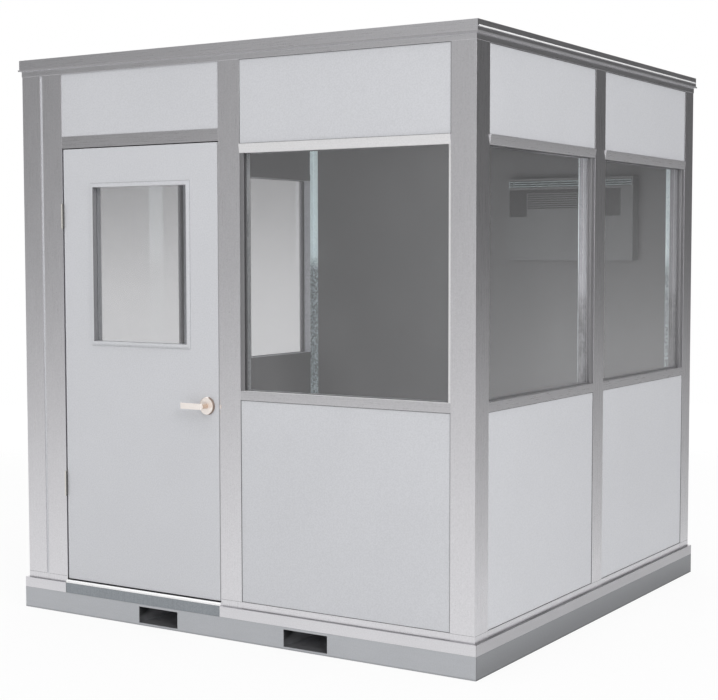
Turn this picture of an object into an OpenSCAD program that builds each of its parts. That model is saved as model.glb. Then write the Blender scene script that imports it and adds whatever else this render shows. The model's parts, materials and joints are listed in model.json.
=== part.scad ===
// Modular in-plant office on a steel base with two fork pockets.
// Millimetres, +Z up. The origin is on the ground under the middle of the walls, and the front faces -Y.

/* [Walls] */
// Width of the front and rear walls, from corner to corner
wall_w = 2438; // [2200:1:3600]
// Width of the side walls, from corner to corner
wall_d = 2438; // [2000:1:3600]
// Width of the face of a post
post_w = 114; // [108:1:140]
// Width of the face of the jamb that carries the hinges
jamb_w = 120; // [108:1:140]
// Width of the hollow core between the two panel pockets of a post
core_w = 64; // [40:1:80]
// Thickness of the wall over the faces of the posts
wall_t = 82; // [76:1:100]
// Thickness of the flanges of posts and rails
flange_t = 3; // [2:0.5:5]
// Width of the strip of panel between the corner post and the hinge jamb
filler_w = 14; // [8:1:120]

/* [Wall heights] */
// Height of the walls from the floor to the roof
wall_h = 2426; // [2150:1:3000]
// Height of the bottom rail
bottom_rail_h = 30; // [20:1:60]
// Height of a lower panel between its rails
lower_panel_h = 894; // [600:1:1100]
// Height of the rails below and above a window
rail_h = 40; // [34:1:60]
// Depth of the pocket in a rail that takes a panel edge
rail_pocket = 12; // [8:1:14]
// How far the top of a head rail stands out, so that its face looks down
head_lean = 7; // [0:0.5:10]
// Height of an upper panel between its rail and the top track
upper_panel_h = 362; // [200:1:650]
// Height of the legs of the track that caps the walls
track_h = 26; // [15:1:60]
// Thickness of the legs of the top track
track_leg_t = 2; // [1:0.5:4]
// Thickness of the web of the top track
track_web_t = 3; // [2:0.5:5]

/* [Base] */
// Width of a fork pocket
fork_w = 226; // [180:1:260]
// Height of a fork pocket
fork_h = 76; // [60:1:100]
// Distance between the centres of the two fork pockets
fork_pitch = 812; // [600:1:1000]
// Wall of the fork tubes
fork_tube_t = 6; // [4:0.5:8]
// Thickness of the web and flanges of the base rails
base_rail_t = 5; // [4:0.5:8]
// Width of the flanges of the base rails
base_flange_w = 40; // [30:1:60]
// Width of a joist
joist_w = 50; // [40:1:80]
// How far the base stands out past the walls
base_proud = 14; // [8:1:30]
// Height of the edge trim and the floor inside it
trim_h = 48; // [30:1:80]
// Thickness of the edge trim
trim_t = 34; // [24:1:50]
// How far the strip under the doorway lies back from the trim
step_set = 2; // [1:0.5:6]

/* [Roof] */
// Overhang of the roof edge past the walls
roof_overhang = 15; // [12:1:40]
// Height of the roof edge
roof_h = 52; // [40:1:120]
// Thickness of the upright leaf of the roof edge
fascia_t = 4; // [2:0.5:6]
// How far the hem and the bead stand out from the leaf
fascia_bead = 5; // [2:0.5:8]
// Height of the folded hem at the foot of the roof edge
fascia_hem_h = 7; // [4:0.5:12]
// How far the foot of that hem lies back, so that its face looks down
fascia_hem_lean = 1.5; // [0:0.25:3]
// Height of the bead above the foot of the roof edge
fascia_bead_z = 23; // [16:1:34]
// Height of the sloped face of the bead
fascia_bead_h = 7; // [4:0.5:12]
// How far the bead stops short of the corners
fascia_bead_end = 8; // [4:1:40]
// Width of the flange that laps over the roof panel
fascia_lap = 45; // [25:1:80]
// Thickness of that flange
fascia_lap_t = 2; // [1:0.5:4]

/* [Windows] */
// Thickness of the glass
glass_t = 6; // [4:1:10]
// Depth of the glass behind the face of the posts
glass_set = 30; // [20:1:40]
// Depth of the groove that holds the edge of the glass
glass_groove = 8; // [4:1:12]
// Width of the sloped bead at each side of a window
bead_w = 16; // [8:1:24]
// Depth of the inner edge of that bead behind the face of the posts
bead_d = 12; // [6:1:18]
// Width of the dark gasket round the glass
gasket_w = 3; // [2:0.5:10]
// Depth of the gasket in front of the glass
gasket_d = 6; // [3:1:15]

/* [Door] */
// Width of the door leaf
leaf_w = 904; // [700:1:1000]
// Height of the panel over the door, between the door head and the top track
transom_h = 290; // [150:1:450]
// Thickness of the door leaf
leaf_t = 45; // [35:1:50]
// Depth of the face of the leaf behind the face of the jambs
leaf_set = 2; // [0:0.5:6]
// Gap at each upright edge of the leaf
leaf_gap = 7; // [6:0.5:10]
// Gap over the leaf, and between the leaf and its stop
head_gap = 5; // [5:0.5:10]
// Height of the threshold
threshold_h = 14; // [10:1:20]
// Height of the head of the door frame
door_head_h = 55; // [45:1:90]
// Thickness of the door stop
stop_t = 12; // [8:1:20]
// How far the door stop reaches in front of the jamb
stop_w = 16; // [10:1:25]
// Clear width of the glass in the door
lite_w = 548; // [300:1:600]
// Clear height of the glass in the door
lite_h = 713; // [400:1:900]
// How far that glass lies off the middle of the leaf, towards the lever
lite_side = 5; // [0:1:30]
// Distance of the top of that glass below the top of the leaf
lite_top = 180; // [120:1:300]
// Width of the moulding round the door glass
lite_mould_w = 12; // [8:1:30]
// How far the moulding stands out from the leaf
lite_mould_t = 6; // [3:0.5:10]
// Thickness of the collar that lines the cut-out of the leaf
lite_collar_t = 6; // [3:0.5:10]

/* [Hinges] */
// Height of a hinge
hinge_h = 114; // [80:1:130]
// Height of the middle of the upper hinge below the top of the leaf
hinge_top = 312; // [150:1:400]
// Height of the middle of the lower hinge above the foot of the leaf
hinge_bottom = 457; // [150:1:500]
// Radius of the knuckles
knuckle_r = 6.5; // [5:0.25:8]
// How far a knuckle reaches in past the face of the jamb
knuckle_lap = 0.3; // [0.2:0.1:1]
// Radius of the hinge pin
pin_r = 3.5; // [2.5:0.25:4]
// Running clearance round the hinge pin and the lever necks
run_gap = 0.05; // [0.03:0.01:0.1]
// Height of the cap at each end of a hinge pin
cap_h = 3; // [1:0.5:6]
// Thickness of a hinge plate
hinge_plate_t = 2.5; // [2:0.25:2.75]
// Width of a hinge plate inside the gap
hinge_plate_d = 30; // [20:1:36]

/* [Lever set] */
// Distance of the spindle from the free edge of the leaf
backset = 62; // [60:1:100]
// Height of the spindle above the foot of the leaf
lever_z = 870; // [750:1:1100]
// Radius of the rose
rose_r = 40; // [32:1:45]
// Thickness of the rose
rose_t = 12; // [8:1:16]
// Length of the lever from the spindle to its tip
lever_l = 113; // [90:1:150]
// Height of the lever
lever_h = 26; // [18:1:30]
// Thickness of the lever
lever_t = 12; // [8:1:16]
// Distance between the leaf and the near side of the lever
lever_off = 44; // [35:1:60]
// Radius of the neck of the lever
neck_r = 11; // [8:0.5:14]
// Radius of the spindle inside the leaf
spindle_r = 7.5; // [5:0.5:10]
// Radius of the bore in the leaf for the lock
lock_r = 27; // [20:1:28]
// Height of the strike plate
strike_h = 70; // [50:1:100]
// Thickness of the strike plate
strike_t = 1.5; // [1:0.25:3]
// Height of the lip of the strike
lip_h = 16; // [10:1:40]
// Width of the lip of the strike
lip_w = 9; // [6:1:25]

/* [Air conditioner] */
// Width of the cover inside the room
ac_w = 738; // [500:1:780]
// Height of the cover inside the room
ac_h = 447; // [380:1:600]
// Depth of the cover inside the room
ac_cover_d = 76; // [60:1:160]
// Height of the foot of the cover above the floor
ac_z = 1523; // [1200:1:1600]
// Width of the cabinet that passes through the wall
ac_cabinet_w = 660; // [400:1:690]
// Height of the cabinet that passes through the wall
ac_cabinet_h = 400; // [300:1:420]
// How far the cabinet stands out behind the wall
ac_out = 330; // [150:1:450]
// Clearance at the sides and top of the cut-out for the cabinet
ac_gap = 3; // [2:0.5:8]
// Width of the plain rims round the openings of the cover
ac_rim = 12; // [8:1:20]
// Height of the air outlet along the top of the cover
outlet_h = 36; // [24:1:60]
// Depth of the air outlet
outlet_d = 40; // [20:1:60]
// Number of vanes in the air outlet
vanes = 3; // [1:1:5]
// Thickness of a vane
vane_t = 4; // [2:0.5:6]
// Width of the recess with the controls, and of the dark port at the other end
control_w = 105; // [60:1:140]
// Height of the recess with the controls
control_h = 148; // [60:1:160]
// Distance of the dark port from its end of the cover
port_end = 70; // [40:1:120]
// Height of the dark band between the air outlet and the louvres
band_h = 20; // [10:1:40]
// Depth of the recesses and louvre slots in the cover
recess_d = 8; // [4:1:20]
// Height of the field of louvres
louvre_h = 84; // [40:1:140]
// Distance from one louvre slot to the next
louvre_pitch = 12; // [8:1:24]
// Width of the rim round the grille at the back of the cabinet
grille_rim = 30; // [20:1:50]
// Distance from one fin of the grille to the next
fin_pitch = 14; // [10:1:24]
// Thickness of a fin
fin_t = 5; // [3:0.5:8]
// Depth of the grille
fin_d = 12; // [6:1:30]
// Number of vent slots in each side of the cabinet
slots = 9; // [3:1:12]
// Distance from one vent slot to the next
slot_pitch = 24; // [16:1:26]

/* [Hidden] */
$fn = 48;

// Colours of the finishes
aluminium = [0.72, 0.72, 0.73];
vinyl = [0.79, 0.8, 0.81];
steel = [0.66, 0.67, 0.68];
dark_rubber = [0.15, 0.15, 0.16];
clear_glass = [0.6, 0.66, 0.68, 0.35];
nickel = [0.86, 0.8, 0.74];

// A small overshoot that keeps cuts clean
over = 1;
// Gap at the mitres and butt joints of like pieces
joint_gap = 0.5;
// Room left at the bottom of a pocket behind a panel edge
edge_room = 1;

// Plan of the walls
panel_t = wall_t - 2 * flange_t;
opening_w = leaf_w + 2 * leaf_gap;
post_pocket = (post_w - core_w) / 2;
corner_pocket = post_w - wall_t;
in_post = post_pocket - edge_room;
in_corner = corner_pocket - edge_room;
in_rail = rail_pocket - edge_room;
jamb_x = -wall_w / 2 + post_w + filler_w + jamb_w / 2;
opening_x0 = jamb_x + jamb_w / 2;
opening_x1 = opening_x0 + opening_w;
mullion_x = opening_x1 + post_w / 2;
leaf_x0 = opening_x0 + leaf_gap;
leaf_x1 = leaf_x0 + leaf_w;

// Bays of each wall as [left end, right end, left insertion, right insertion], seen from outside
front_bay = [mullion_x + post_w / 2, wall_w / 2 - post_w, in_post, in_corner];
side_bays = pair_of_bays(wall_d);
rear_bays = pair_of_bays(wall_w);
function pair_of_bays(w) = [
    [post_w - w / 2, -post_w / 2, in_corner, in_post],
    [post_w / 2, w / 2 - post_w, in_post, in_corner]
];

// What is left of the height of the walls for the windows and for the door leaf
window_h = wall_h - bottom_rail_h - lower_panel_h - 2 * rail_h - upper_panel_h - track_h;
leaf_h = wall_h - threshold_h - 2 * head_gap - door_head_h - transom_h - track_h;

// Levels above the ground
base_h = fork_h + 2 * (fork_tube_t + base_rail_t);
floor_z = base_h + trim_h;
panel_z = floor_z + flange_t;
lower_z = floor_z + bottom_rail_h;
sill_z = lower_z + lower_panel_h;
window_z0 = sill_z + rail_h;
window_z1 = window_z0 + window_h;
upper_z = window_z1 + rail_h;
roof_z = floor_z + wall_h;
track_z = roof_z - track_h;
post_top = roof_z - track_web_t;
leaf_z0 = floor_z + threshold_h + head_gap;
leaf_z1 = leaf_z0 + leaf_h;
head_z = leaf_z1 + head_gap;
transom_z = head_z + door_head_h;

// Plan of the base and of the roof
base_w = wall_w + 2 * base_proud;
base_d = wall_d + 2 * base_proud;
trim_in = trim_t - base_proud;
roof_w = wall_w + 2 * roof_overhang;
roof_d = wall_d + 2 * roof_overhang;
track_w = wall_w + 2 * track_leg_t;
track_d = wall_d + 2 * track_leg_t;

// Places of the door and its hardware
leaf_y = -wall_d / 2 + leaf_set;
stop_y = leaf_y + leaf_t + head_gap;
hinge_x = opening_x0 + leaf_gap / 2;
hinge_y = -wall_d / 2 - knuckle_r + knuckle_lap;
hinge_z = [leaf_z0 + hinge_bottom, leaf_z1 - hinge_top];
knuckles = 5;
knuckle_h = hinge_h / knuckles;
spindle_x = leaf_x1 - backset;
spindle_z = leaf_z0 + lever_z;
lite_mid_x = (leaf_x0 + leaf_x1) / 2 + lite_side;
lite_mid_z = leaf_z1 - lite_top - lite_h / 2;
door_glass_y = leaf_y + (leaf_t - glass_t) / 2;

// Places of the air conditioner, in the frame of the rear wall seen from outside
ac_x = (rear_bays[0][0] + rear_bays[0][1]) / 2;
ac_foot = floor_z + ac_z;
ac_cabinet_z = ac_foot + (ac_h - ac_cabinet_h) / 2;
ac_back = wall_t - flange_t;

// Carries its children to one wall of a plan of w by d: 0 front, 1 right, 2 rear, 3 left.
// In that frame x runs along the wall as seen from outside and y runs inwards from the outer line.
module on_side(side, w = wall_w, d = wall_d) {
    rotate(90 * side) translate([0, -(side % 2 == 0 ? d : w) / 2, 0]) children();
}

// Extrudes a section, drawn as [inwards, up], along the wall
module run(length) {
    rotate([90, 0, 90]) linear_extrude(length, center = true) children();
}

// A run whose ends are mitred, with a section no deeper than depth and no taller than height
module mitred_run(length, depth, height) {
    half = length / 2 - joint_gap;
    intersection() {
        run(length) children();
        translate([0, 0, -over]) linear_extrude(height + 2 * over)
            polygon([[-half, 0], [half, 0], [half - depth, depth], [depth - half, depth]]);
    }
}

// A slab between two ends along the wall and two levels
module slab(x0, x1, z0, z1, y, t) {
    translate([x0, y, z0]) cube([x1 - x0, t, z1 - z0]);
}

// A panel between its rails, with its edges in the pockets of the posts
module panel(bay, z0, z1) {
    slab(bay[0] - bay[2], bay[1] + bay[3], z0, z1, flange_t, panel_t);
}

module lower_panel(bay) {
    panel(bay, panel_z, sill_z + in_rail);
}

module upper_panel(bay) {
    panel(bay, upper_z - rail_pocket, post_top);
}

// An upright rectangular ring along the wall, r wide inside the edges [x0, x1, z0, z1]
module ring(edges, r, y, t) {
    difference() {
        slab(edges[0], edges[1], edges[2], edges[3], y, t);
        slab(edges[0] + r, edges[1] - r, edges[2] + r, edges[3] - r, y - over, t + 2 * over);
    }
}

// Section of a straight post of width w, with a panel pocket on the chosen sides
module post_section(left_pocket, right_pocket, w) {
    core_x0 = left_pocket ? -w / 2 + post_pocket : -w / 2;
    core_x1 = right_pocket ? w / 2 - post_pocket : w / 2;
    difference() {
        translate([-w / 2, 0]) square([w, wall_t]);
        translate([core_x0 + flange_t, flange_t]) square([core_x1 - core_x0 - 2 * flange_t, panel_t]);
        if (left_pocket) translate([-w / 2 - over, flange_t]) square([post_pocket + over, panel_t]);
        if (right_pocket) translate([core_x1, flange_t]) square([post_pocket + over, panel_t]);
    }
}

// Section of a corner post with its outer corner at the origin
module corner_section() {
    difference() {
        union() {
            square([post_w, wall_t]);
            square([wall_t, post_w]);
        }
        translate([flange_t, flange_t]) square([panel_t, panel_t]);
        translate([wall_t, flange_t]) square([corner_pocket + over, panel_t]);
        translate([flange_t, wall_t]) square([panel_t, corner_pocket + over]);
    }
}

module straight_post(side, x, left_pocket = true, right_pocket = true, w = post_w) {
    color(aluminium) on_side(side) translate([x, 0, floor_z])
        linear_extrude(post_top - floor_z) post_section(left_pocket, right_pocket, w);
}

module corner_post(sx, sy, turn) {
    color(aluminium) translate([sx * wall_w / 2, sy * wall_d / 2, floor_z]) rotate(turn)
        linear_extrude(post_top - floor_z) corner_section();
}

// Section of a rail with a pocket below and above, whose face leans out at the top
module rail_section(lean) {
    difference() {
        polygon([[0, 0], [wall_t, 0], [wall_t, rail_h], [-lean, rail_h]]);
        translate([flange_t, -over]) square([panel_t, rail_pocket + over]);
        translate([flange_t, rail_h - rail_pocket]) square([panel_t, rail_pocket + over]);
    }
}

module rail(bay, z, lean = 0) {
    translate([(bay[0] + bay[1]) / 2, 0, z]) run(bay[1] - bay[0]) rail_section(lean);
}

// Every bay with a window: one in the front wall and two in each side wall
module each_window_bay() {
    on_side(0) let ($bay = front_bay) children();
    for (side = [1, 3], bay = side_bays) on_side(side) let ($bay = bay) children();
}

// Base

module base_rail_section() {
    difference() {
        square([base_flange_w, base_h]);
        translate([base_rail_t, base_rail_t]) square([base_flange_w, base_h - 2 * base_rail_t]);
    }
}

module fork_places() {
    for (x = [-fork_pitch / 2, fork_pitch / 2]) translate([x, 0, base_rail_t + fork_tube_t]) children();
}

module end_rail(side) {
    color(steel) on_side(side, base_w, base_d) difference() {
        mitred_run(base_w, base_flange_w, base_h) base_rail_section();
        fork_places() translate([-fork_w / 2, -over, 0]) cube([fork_w, base_rail_t + 2 * over, fork_h]);
    }
}

module base_side_rails() {
    color(steel) for (side = [1, 3]) on_side(side, base_w, base_d)
        mitred_run(base_d, base_flange_w, base_h) base_rail_section();
}

module fork_tubes() {
    length = base_d - 2 * base_rail_t;
    color(steel) fork_places() rotate([90, 0, 0]) linear_extrude(length, center = true) difference() {
        translate([-fork_w / 2 - fork_tube_t, -fork_tube_t])
            square([fork_w + 2 * fork_tube_t, fork_h + 2 * fork_tube_t]);
        translate([-fork_w / 2, 0]) square([fork_w, fork_h]);
    }
}

module base_joists() {
    fork_edge = fork_pitch / 2 + fork_w / 2 + fork_tube_t;
    outer_x = (fork_edge + base_w / 2) / 2;
    length = base_d - 2 * base_flange_w;
    color(steel) for (x = [-outer_x, 0, outer_x])
        translate([x - joist_w / 2, -length / 2, 0]) cube([joist_w, length, base_h]);
}

module floor_deck() {
    w = wall_w - 2 * trim_in;
    d = wall_d - 2 * trim_in;
    color(steel) translate([-w / 2, -d / 2, base_h]) cube([w, d, trim_h]);
}

module edge_trim() {
    color(aluminium) difference() {
        for (side = [0:3]) on_side(side, base_w, base_d) translate([0, 0, base_h])
            mitred_run(side % 2 == 0 ? base_w : base_d, trim_t, trim_h) square([trim_t, trim_h]);
        slab(opening_x0, opening_x1, base_h - over, floor_z + over, -base_d / 2 - over, trim_t + 2 * over);
    }
}

module door_step() {
    color(steel)
        slab(opening_x0, opening_x1, base_h, floor_z, -base_d / 2 + step_set, trim_t - step_set);
}

// A saddle with a nose over the step and a slope into the room
module threshold() {
    nose = base_proud - step_set;
    color(aluminium) translate([(opening_x0 + opening_x1) / 2, -wall_d / 2, floor_z]) run(opening_w)
        polygon([
            [-nose, 0], [-nose, threshold_h / 2], [-nose / 2, threshold_h],
            [wall_t - threshold_h, threshold_h], [wall_t, threshold_h / 3], [wall_t, 0]
        ]);
}

// Posts

module front_left_post() { corner_post(-1, -1, 0); }
module front_right_post() { corner_post(1, -1, 90); }
module rear_right_post() { corner_post(1, 1, 180); }
module rear_left_post() { corner_post(-1, 1, 270); }
module hinge_jamb() { straight_post(0, jamb_x, right_pocket = false, w = jamb_w); }
module right_mullion() { straight_post(1, 0); }
module rear_mullion() { straight_post(2, 0); }
module left_mullion() { straight_post(3, 0); }

// The post between door and window, let in for the strike
module front_mullion() {
    difference() {
        straight_post(0, mullion_x, left_pocket = false);
        color(aluminium) strike_body();
    }
}

// Rails

module bottom_rail(bay) {
    translate([(bay[0] + bay[1]) / 2, 0, floor_z]) run(bay[1] - bay[0]) difference() {
        square([wall_t, bottom_rail_h]);
        translate([flange_t, flange_t]) square([panel_t, bottom_rail_h]);
    }
}

module bottom_rails() {
    color(aluminium) {
        each_window_bay() bottom_rail($bay);
        for (bay = rear_bays) on_side(2) bottom_rail(bay);
    }
}

module sill_rails() {
    color(aluminium) each_window_bay() rail($bay, sill_z);
}

module head_rails() {
    color(aluminium) each_window_bay() rail($bay, window_z1, head_lean);
}

module door_head() {
    color(aluminium) translate([(opening_x0 + opening_x1) / 2, -wall_d / 2, head_z]) run(opening_w)
        difference() {
            square([wall_t, door_head_h]);
            translate([flange_t, door_head_h - rail_pocket]) square([panel_t, rail_pocket + over]);
            translate([flange_t, flange_t])
                square([panel_t, door_head_h - rail_pocket - 2 * flange_t]);
        }
}

// Two uprights and a head piece between them, behind the inner face of the leaf
module door_stop() {
    stop_z0 = floor_z + threshold_h;
    color(aluminium) {
        slab(opening_x0, opening_x0 + stop_w, stop_z0, head_z, stop_y, stop_t);
        slab(opening_x1 - stop_w, opening_x1, stop_z0, head_z, stop_y, stop_t);
        slab(opening_x0 + stop_w + joint_gap, opening_x1 - stop_w - joint_gap,
            head_z - stop_w, head_z, stop_y, stop_t);
    }
}

module top_track_section() {
    depth = wall_t + 2 * track_leg_t;
    difference() {
        square([depth, track_h]);
        translate([track_leg_t, -over]) square([wall_t, track_h - track_web_t + over]);
    }
}

module top_track() {
    color(aluminium) for (side = [0:3]) on_side(side, track_w, track_d) translate([0, 0, track_z])
        mitred_run(side % 2 == 0 ? track_w : track_d, wall_t + 2 * track_leg_t, track_h)
            top_track_section();
}

// Panels

module corner_filler() {
    x0 = -wall_w / 2 + post_w;
    color(vinyl) on_side(0) panel([x0, x0 + filler_w, in_corner, in_post], floor_z, post_top);
}

module front_lower_panel() { color(vinyl) on_side(0) lower_panel(front_bay); }
module front_upper_panel() { color(vinyl) on_side(0) upper_panel(front_bay); }

module transom_panel() {
    color(vinyl) on_side(0)
        slab(opening_x0, opening_x1, transom_z - rail_pocket, post_top, flange_t, panel_t);
}

module side_panels(side) {
    color(vinyl) on_side(side) for (bay = side_bays) {
        lower_panel(bay);
        upper_panel(bay);
    }
}

module right_panels() { side_panels(1); }
module left_panels() { side_panels(3); }
module rear_left_panel() { color(vinyl) on_side(2) panel(rear_bays[1], panel_z, post_top); }

// The panel with the cut-out that the cabinet rests in
module rear_right_panel() {
    half = ac_cabinet_w / 2 + ac_gap;
    color(vinyl) on_side(2) difference() {
        panel(rear_bays[0], panel_z, post_top);
        slab(ac_x - half, ac_x + half, ac_cabinet_z, ac_cabinet_z + ac_cabinet_h + ac_gap, -over,
            wall_t + 2 * over);
    }
}

// Windows

module glass_pane(bay) {
    slab(bay[0] - glass_groove, bay[1] + glass_groove, window_z0 - glass_groove,
        window_z1 + glass_groove, glass_set, glass_t);
}

// Bead that slopes inwards from the flange of the post at x
module side_bead(x, turn) {
    translate([x, 0, window_z0]) linear_extrude(window_h)
        polygon([[0, flange_t], [turn * bead_w, bead_d], [turn * bead_w, glass_set], [0, glass_set]]);
}

module window_frame(bay) {
    difference() {
        panel(bay, window_z0 - in_rail, window_z1 + in_rail);
        slab(bay[0], bay[1], window_z0, window_z1, -over, wall_t + 2 * over);
        glass_pane(bay);
    }
    side_bead(bay[0], 1);
    side_bead(bay[1], -1);
}

module front_window_frame() { color(aluminium) on_side(0) window_frame(front_bay); }
module right_window_frames() { color(aluminium) on_side(1) for (bay = side_bays) window_frame(bay); }
module left_window_frames() { color(aluminium) on_side(3) for (bay = side_bays) window_frame(bay); }
module front_glass() { color(clear_glass) on_side(0) glass_pane(front_bay); }
module right_glass() { color(clear_glass) on_side(1) for (bay = side_bays) glass_pane(bay); }
module left_glass() { color(clear_glass) on_side(3) for (bay = side_bays) glass_pane(bay); }

module window_gaskets() {
    color(dark_rubber) each_window_bay()
        ring([$bay[0] + bead_w, $bay[1] - bead_w, window_z0, window_z1], gasket_w,
            glass_set - gasket_d, gasket_d);
}

// Roof

module roof_panel() {
    inset = fascia_bead + fascia_t;
    w = roof_w - 2 * inset;
    d = roof_d - 2 * inset;
    color(vinyl) translate([-w / 2, -d / 2, roof_z]) cube([w, d, roof_h - fascia_lap_t]);
}

// Upright leaf with a hem at its foot and a flange over the roof panel
module fascia_section() {
    leaf_in = fascia_bead + fascia_t;
    polygon([[fascia_hem_lean, 0], [leaf_in, 0], [leaf_in, fascia_hem_h], [0, fascia_hem_h]]);
    translate([fascia_bead, 0]) square([fascia_t, roof_h]);
    translate([fascia_bead, roof_h - fascia_lap_t]) square([fascia_lap, fascia_lap_t]);
}

// Strip along a side of the roof edge, with a face that looks up and out
module fascia_bead_section() {
    polygon([
        [0, fascia_bead_z], [fascia_bead, fascia_bead_z], [fascia_bead, fascia_bead_z + fascia_bead_h]
    ]);
}

module roof_fascia() {
    color(aluminium) {
        for (side = [0:3]) on_side(side, roof_w, roof_d) translate([0, 0, roof_z])
            mitred_run(side % 2 == 0 ? roof_w : roof_d, fascia_bead + fascia_lap, roof_h) fascia_section();
        for (side = [1, 3]) on_side(side, roof_w, roof_d) translate([0, 0, roof_z])
            run(roof_d - 2 * (fascia_bead + fascia_bead_end)) fascia_bead_section();
    }
}

// Air conditioner

module ac_cabinet() {
    x0 = ac_x - ac_cabinet_w / 2;
    x1 = ac_x + ac_cabinet_w / 2;
    grille_z = ac_cabinet_z + grille_rim;
    color(vinyl) on_side(2) difference() {
        slab(x0, x1, ac_cabinet_z, ac_cabinet_z + ac_cabinet_h, -ac_out, ac_out + ac_back);
        for (x = [x0 + grille_rim:fin_pitch:x1 - grille_rim - fin_pitch + fin_t])
            translate([x, -ac_out - over, grille_z])
                cube([fin_pitch - fin_t, fin_d + over, ac_cabinet_h - 2 * grille_rim]);
        for (x = [x0, x1], i = [1:slots])
            translate([x, -ac_out / 2, grille_z + i * slot_pitch])
                cube([2 * fin_t, ac_out / 2, slot_pitch / 2], center = true);
    }
}

// Cover inside the room: an outlet with vanes along the top and a dark band below it, which joins the
// controls at one end to a dark port near the other, over a louvred intake
module ac_cover() {
    x0 = ac_x - ac_w / 2;
    x1 = ac_x + ac_w / 2;
    top = ac_foot + ac_h;
    face = ac_back + ac_cover_d;
    outlet_z = top - ac_rim - outlet_h;
    recess_z = outlet_z - ac_rim;
    control_x = x1 - ac_rim - control_w;
    port_x = x0 + port_end;
    louvre_z = recess_z - band_h;
    bar = louvre_pitch / 2;
    vane_pitch = outlet_h / vanes;
    color(vinyl) on_side(2) {
        difference() {
            slab(x0, x1, ac_foot, top, ac_back, ac_cover_d);
            slab(x0 + ac_rim, x1 - ac_rim, outlet_z, top - ac_rim, face - outlet_d, outlet_d + over);
            for (x = [control_x, port_x])
                slab(x, x + control_w, recess_z - control_h, recess_z, face - recess_d, recess_d + over);
            slab(port_x, control_x + control_w, louvre_z, recess_z, face - recess_d, recess_d + over);
            for (z = [louvre_z - louvre_h:louvre_pitch:louvre_z - bar])
                slab(port_x + control_w + bar, control_x - bar, z, z + bar, face - recess_d, recess_d + over);
        }
        for (i = [0:vanes - 1])
            slab(x0 + ac_rim, x1 - ac_rim, outlet_z + (i + 1 / 2) * vane_pitch - vane_t / 2,
                outlet_z + (i + 1 / 2) * vane_pitch + vane_t / 2, face - outlet_d, outlet_d);
    }
}

// Hinges

// Rows of knuckles from the first one, two apart, on the axis of a hinge
module knuckle_row(first, r) {
    for (i = [first:2:knuckles - 1])
        translate([0, 0, i * knuckle_h - hinge_h / 2]) cylinder(r = r, h = knuckle_h);
}

// Plate in the gap between leaf and jamb, cut clear of the other plate's knuckles
module hinge_plate(x, first) {
    reach = -wall_d / 2 - hinge_y + hinge_plate_d;
    difference() {
        translate([x, 0, -hinge_h / 2]) cube([hinge_plate_t, reach, hinge_h]);
        knuckle_row(1 - first, knuckle_r + joint_gap);
    }
    knuckle_row(first, knuckle_r);
}

module hinge_places() {
    for (z = hinge_z) translate([hinge_x, hinge_y, z]) children();
}

// Plates on the jamb, each with three knuckles and the pin
module frame_hinges() {
    color(nickel) hinge_places() {
        hinge_plate(-leaf_gap / 2, 0);
        translate([0, 0, -hinge_h / 2 - cap_h]) cylinder(r = pin_r, h = hinge_h + 2 * cap_h);
    }
}

// Plates on the leaf, each with two knuckles bored for the pin
module door_hinges() {
    color(nickel) hinge_places() difference() {
        hinge_plate(leaf_gap / 2 - hinge_plate_t, 1);
        cylinder(r = pin_r + run_gap, h = hinge_h + 2 * over, center = true);
    }
}

// Door

module lite_cut(room, y, t) {
    slab(lite_mid_x - lite_w / 2 - room, lite_mid_x + lite_w / 2 + room,
        lite_mid_z - lite_h / 2 - room, lite_mid_z + lite_h / 2 + room, y, t);
}

module lock_bore(r, y, t) {
    translate([spindle_x, y, spindle_z]) rotate([-90, 0, 0]) cylinder(r = r, h = t);
}

module door_leaf() {
    color(vinyl) difference() {
        slab(leaf_x0, leaf_x1, leaf_z0, leaf_z1, leaf_y, leaf_t);
        lite_cut(lite_collar_t, leaf_y - over, leaf_t + 2 * over);
        lock_bore(lock_r, leaf_y - over, leaf_t + 2 * over);
    }
}

// Outer and inner half of the moulding, each with a collar down to the glass
module door_lite_frame() {
    collar_d = (leaf_t - glass_t) / 2;
    step_w = lite_mould_w / 2;
    color(vinyl) for (side = [0, 1]) {
        foot_y = side == 0 ? leaf_y : leaf_y + leaf_t;
        out = side == 0 ? -1 : 1;
        difference() {
            union() {
                lite_cut(lite_collar_t + lite_mould_w, min(foot_y, foot_y + out * lite_mould_t / 2),
                    lite_mould_t / 2);
                lite_cut(lite_collar_t + step_w, min(foot_y, foot_y + out * lite_mould_t), lite_mould_t);
                lite_cut(lite_collar_t, min(foot_y, foot_y - out * collar_d), collar_d);
            }
            lite_cut(0, leaf_y - lite_mould_t - over, leaf_t + 2 * (lite_mould_t + over));
        }
    }
}

module door_glass() {
    color(clear_glass) lite_cut(lite_collar_t - joint_gap, door_glass_y, glass_t);
}

// Round roses on both faces of the leaf, bored for the necks of the levers
module door_roses() {
    edge_r = rose_t / 2;
    bore_r = neck_r + run_gap;
    color(nickel) for (face = [0, 1])
        translate([spindle_x, face == 0 ? leaf_y : leaf_y + leaf_t, spindle_z])
            rotate([face == 0 ? 90 : -90, 0, 0]) rotate_extrude() {
                translate([bore_r, 0]) square([rose_r - edge_r - bore_r, rose_t]);
                translate([bore_r, 0]) square([rose_r - bore_r, edge_r]);
                translate([rose_r - edge_r, edge_r]) circle(edge_r);
            }
}

// Lever that turns with its neck: a flat bar with round ends, drawn in plan and extruded upwards
module lever_bar() {
    end_r = lever_t / 2;
    translate([0, lever_off + end_r, -lever_h / 2]) linear_extrude(lever_h) {
        translate([-lever_l + end_r, -end_r]) square([lever_l - end_r, lever_t]);
        translate([-lever_l + end_r, 0]) circle(end_r);
        circle(end_r);
    }
}

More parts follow.
